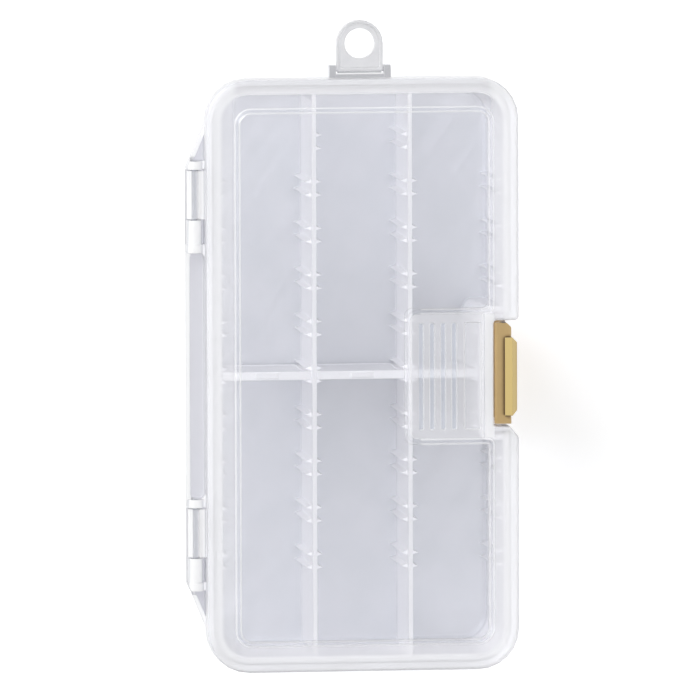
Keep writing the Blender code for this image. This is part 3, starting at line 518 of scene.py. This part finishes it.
def tab_plastic():
    """The hang tab's plastic: neutral, a little grey, with a painted highlight on its raised edges."""
    surface = Surface("tab milky plastic")
    edge, round_normal = surface.edges(*TAB_EDGE)
    grain = surface.noise(*TAB_GRAIN)
    # Painted highlight on the edges
    colour = surface.blend(edge, surface.clouded(TAB_CLOUD, TAB_FACE), TAB_RIDGE_HIGHLIGHT)
    opacity = surface.calc("ADD", TAB_OPACITY, surface.both(edge, TAB_HIGHLIGHT_OPACITY), clamp=True)
    roughness = surface.ramp(grain, *GRAIN, *TAB_ROUGHNESS)
    normal = surface.bump(grain, *TAB_BUMP, round_normal)
    return surface.show(plastic(surface, colour, opacity, roughness, normal, TAB_GLOW, TAB_HAZE))


def latch_plastic():
    """Solid gold-coloured plastic with a fine satin grain, painted highlights on its edges and its raised
    grip, and a painted shade line at the grip's foot.
    """
    surface = Surface("latch gold plastic")
    edge, round_normal = surface.edges(*LATCH_EDGE)
    grain = surface.noise(*LATCH_GRAIN)
    # The raised grip gets a painted highlight
    grip = surface.rise(surface.at("Z"), GRIP_FOOT)
    flat = surface.blend(grip, surface.clouded(LATCH_CLOUD, LATCH_FACE, LATCH_SPREAD), LATCH_GRIP_HIGHLIGHT)
    # Painted highlight along the edges
    edge_lit = surface.blend(surface.both(edge, EDGE_HIGHLIGHT_SHARE), flat, LATCH_EDGE_HIGHLIGHT)

    # The dark line along the grip's foot, where the grip shades the plate
    hollow = surface.node("ShaderNodeAmbientOcclusion", {"samples": HOLLOW_RAYS},
                          Distance=HOLLOW_REACH)
    open_share = surface.ramp(hollow.outputs["AO"], *HOLLOW_SHARES)
    near_grip = surface.rise(surface.at("X"), GRIP_SIDE)
    colour = surface.blend(surface.either(open_share, surface.off(near_grip)), LATCH_DARK, edge_lit)

    roughness = surface.ramp(grain, *GRAIN, *LATCH_ROUGHNESS)
    normal = surface.bump(grain, *LATCH_BUMP, round_normal)
    return surface.show(surface.node("ShaderNodeBsdfPrincipled", Base_Color=colour, Roughness=roughness,
                                     Normal=normal, IOR=LATCH_IOR))


def pin_steel():
    """Plain drawn steel with fine marks along the wire."""
    surface = Surface("pin steel")
    stretch = surface.node("ShaderNodeMapping", Vector=surface.place.outputs["Object"],
                           Scale=STEEL_STRETCH)
    streak = surface.node("ShaderNodeTexNoise", Vector=stretch, Scale=STEEL_STREAKS).outputs["Fac"]
    colour = surface.blend(streak, *STEEL)
    roughness = surface.ramp(streak, *GRAIN, *STEEL_ROUGHNESS)
    normal = surface.bump(streak, *STEEL_BUMP)
    return surface.show(surface.node("ShaderNodeBsdfPrincipled", Base_Color=colour, Metallic=1.0,
                                     Roughness=roughness, Normal=normal))


def paper():
    """Plain pale paper, a little brighter where it is seen than the light that it gives."""
    surface = Surface("floor paper")
    tone = surface.blend(surface.noise(PAPER_CLOUD), *PAPER)
    diffuse = surface.node("ShaderNodeBsdfDiffuse", Color=tone)
    lift = surface.node("ShaderNodeEmission", Color=WHITE,
                        Strength=surface.both(surface.seen(), PAPER_LIFT))
    shader = surface.node("ShaderNodeAddShader")
    surface.put(shader.inputs[0], diffuse)
    surface.put(shader.inputs[1], lift)
    return surface.show(shader)


def dress(names, finish):
    """Give CAD solids a finish, and shade their facets smooth up to real edges."""
    for name in names:
        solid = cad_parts[name]
        mesh = solid.data
        custom = mesh.attributes.get("custom_normal")
        if custom is not None:
            mesh.attributes.remove(custom)
        mesh.shade_smooth()
        weld = solid.modifiers.new("weld", "WELD")
        weld.merge_threshold = WELD_GAP
        split = solid.modifiers.new("edges", "EDGE_SPLIT")
        split.split_angle = SHARP_ANGLE
        normals = solid.modifiers.new("normals", "WEIGHTED_NORMAL")
        normals.weight = FACE_WEIGHT
        if not solid.material_slots:
            mesh.materials.append(finish)
        for slot in solid.material_slots:
            slot.material = finish


def add_floor():
    """A plain pale floor that keeps the case's shadow."""
    mesh = bpy.data.meshes.new("floor")
    signs = ((-1, -1), (1, -1), (1, 1), (-1, 1))
    corners = [(across * PAPER_HALF, along * PAPER_HALF, 0) for across, along in signs]
    mesh.from_pydata(corners, [], [(0, 1, 2, 3)])
    floor = bpy.data.objects.new("floor", mesh)
    bpy.context.scene.collection.objects.link(floor)
    mesh.materials.append(paper())


def add_light(name, place, power):
    """A square soft light above the case, aimed at it."""
    data = bpy.data.lights.new(name, "AREA")
    data.shape = "SQUARE"
    data.size = LAMP_SIZE
    data.energy = power
    light = bpy.data.objects.new(name, data)
    bpy.context.scene.collection.objects.link(light)
    light.location = place
    light.rotation_euler = (-Vector(place)).to_track_quat("-Z", "Y").to_euler()


def add_world():
    """An even pale room that is plain white where it is seen."""
    world = bpy.data.worlds.new("studio")
    world.use_nodes = True
    nodes = Nodes(world.node_tree)
    room = nodes.node("ShaderNodeBackground", Color=ROOM_TINT, Strength=ROOM_STRENGTH)
    shown = nodes.node("ShaderNodeBackground", Color=WHITE, Strength=BACKDROP_STRENGTH)
    output = nodes.node("ShaderNodeOutputWorld")
    nodes.put(output.inputs["Surface"], nodes.mix(nodes.seen(), room, shown))
    bpy.context.scene.world = world


add_camera()
add_world()
add_floor()
for lamp in LAMPS:
    add_light(*lamp)
dress(["case_body", "divider_left", "divider_middle", "divider_right"], case_plastic())
dress(["lid"], lid_plastic())
dress(["hang_tab"], tab_plastic())
dress(["latch"], latch_plastic())
dress(["hinge_pin_upper", "hinge_pin_lower"], pin_steel())
bpy.context.scene.view_settings.view_transform = "Standard"
